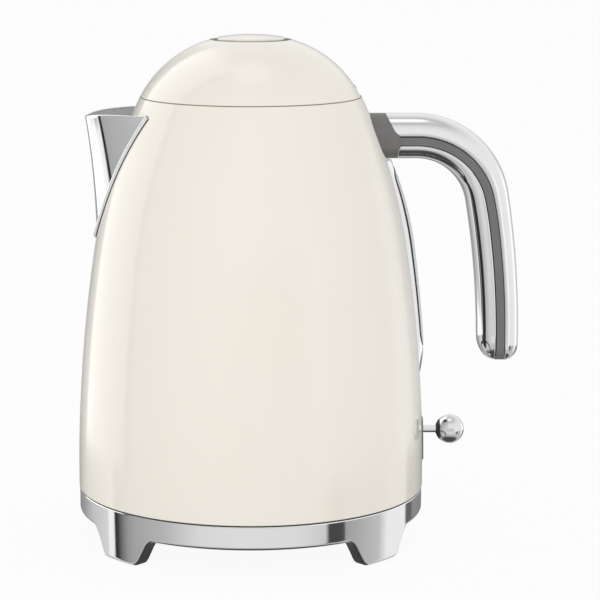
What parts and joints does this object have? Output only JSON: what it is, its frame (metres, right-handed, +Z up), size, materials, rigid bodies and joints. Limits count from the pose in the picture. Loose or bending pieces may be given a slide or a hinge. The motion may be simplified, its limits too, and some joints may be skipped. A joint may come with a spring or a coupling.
{
  "type": "electric kettle",
  "caption": "Domed retro electric kettle with a beak spout, cantilever handle, side water gauge and lever, hinged push-button lid and a round footed power base.",
  "frame": {"origin": "centre of the overall outline, on the surface the feet stand on", "axes": "+Z up, +X towards the handle, -X towards the spout, -Y the side seen in the picture"},
  "size_m": [0.2199, 0.1722, 0.2508],
  "materials": {
    "cream_enamel": "gloss cream enamel on steel",
    "chrome_plate": "polished chrome plate",
    "grey_plastic": "fine satin grey moulding",
    "dark_plastic": "matte black moulding",
    "white_plastic": "natural moulding",
    "black_rubber": "matte rubber",
    "clear_silicone": "translucent silicone",
    "clear_plastic": "clear gauge window",
    "plain_steel": "brushed stainless steel",
    "cast_aluminium": "plain aluminium",
    "contact_brass": "bare brass"
  },
  "bodies": {
    "power_base": {"base_ring": "chrome_plate", "base_top_plate": "dark_plastic", "base_bottom_cover": "dark_plastic", "base_screws": "plain_steel", "base_connector": "dark_plastic", "base_contacts": "contact_brass", "foot_pads": "black_rubber", "cord_gland": "dark_plastic", "terminal_block": "dark_plastic"},
    "socket": {"kettle_socket": "dark_plastic", "socket_contacts": "contact_brass"},
    "kettle": {"body_shell": "cream_enamel", "chassis": "dark_plastic", "chassis_screws": "plain_steel", "heating_plate": "plain_steel", "floor_seal": "clear_silicone", "diffuser": "cast_aluminium", "heating_element": "plain_steel", "control_block": "dark_plastic", "bimetal_disc": "plain_steel", "steam_tube": "plain_steel", "tube_grommet": "clear_silicone", "steam_switch": "dark_plastic", "lever_bracket": "white_plastic", "lever_pin": "plain_steel", "lever_plate": "grey_plastic", "spout": "chrome_plate", "spout_gasket": "black_rubber", "gauge_frame": "chrome_plate", "gauge_lens": "clear_plastic", "gauge_seal": "black_rubber", "handle_core": "grey_plastic", "handle_outer": "chrome_plate", "handle_inner": "chrome_plate", "handle_screws": "plain_steel", "hinge_block": "plain_steel", "hinge_pin": "plain_steel", "latch_keeper": "plain_steel"},
    "filter": {"filter_frame": "white_plastic", "filter_mesh": "plain_steel"},
    "lever": {"lever_arm": "chrome_plate", "lever_knob": "chrome_plate"},
    "trip": {"trip_rod": "dark_plastic"},
    "lid": {"lid_dome": "cream_enamel", "lid_pan": "white_plastic", "lid_lugs": "white_plastic", "lid_seal": "clear_silicone", "lid_trim_ring": "grey_plastic", "button_spring": "plain_steel", "latch_spring": "plain_steel"},
    "button": {"lid_button": "cream_enamel", "button_stem": "white_plastic"},
    "latch": {"lid_latch": "white_plastic"}
  },
  "joints": [
    {"name": "kettle_lift", "type": "slide", "parent": "power_base", "child": "socket", "axis": [0, 0, 1], "range_m": [0, 0.08]},
    {"name": "kettle_swivel", "type": "hinge", "parent": "socket", "child": "kettle", "pos_m": [-0.02387, 0, 0.0264], "axis": [0, 0, 1], "continuous": true},
    {"name": "lid_hinge", "type": "hinge", "parent": "kettle", "child": "lid", "pos_m": [0.02563, 0, 0.223], "axis": [0, 1, 0], "range_deg": [0, 75]},
    {"name": "button_press", "type": "slide", "parent": "lid", "child": "button", "axis": [0, 0, -1], "range_m": [0, 0.003], "stiffness_N_per_m": 500, "springref_m": -0.003, "deforming": ["button_spring"]},
    {"name": "latch_slide", "type": "slide", "parent": "lid", "child": "latch", "axis": [1, 0, 0], "range_m": [0, 0.003], "deforming": ["latch_spring"]},
    {"name": "lever_tilt", "type": "hinge", "parent": "kettle", "child": "lever", "pos_m": [0.04213, 0, 0.0533], "axis": [0, 1, 0], "range_deg": [0, 18], "stiffness_Nm_per_rad": 0.05, "springref_deg": -17.19},
    {"name": "trip_slide", "type": "slide", "parent": "kettle", "child": "trip", "axis": [0, 0, 1], "range_m": [0, 0.00547]},
    {"name": "filter_pull", "type": "slide", "parent": "kettle", "child": "filter", "axis": [1, 0, 0], "range_m": [0, 0.03]}
  ],
  "couplings": [
    {"joint": "latch_slide", "follows": "button_press", "ratio": 1},
    {"joint": "trip_slide", "follows": "lever_tilt", "m_per_rad": 0.0174}
  ]
}
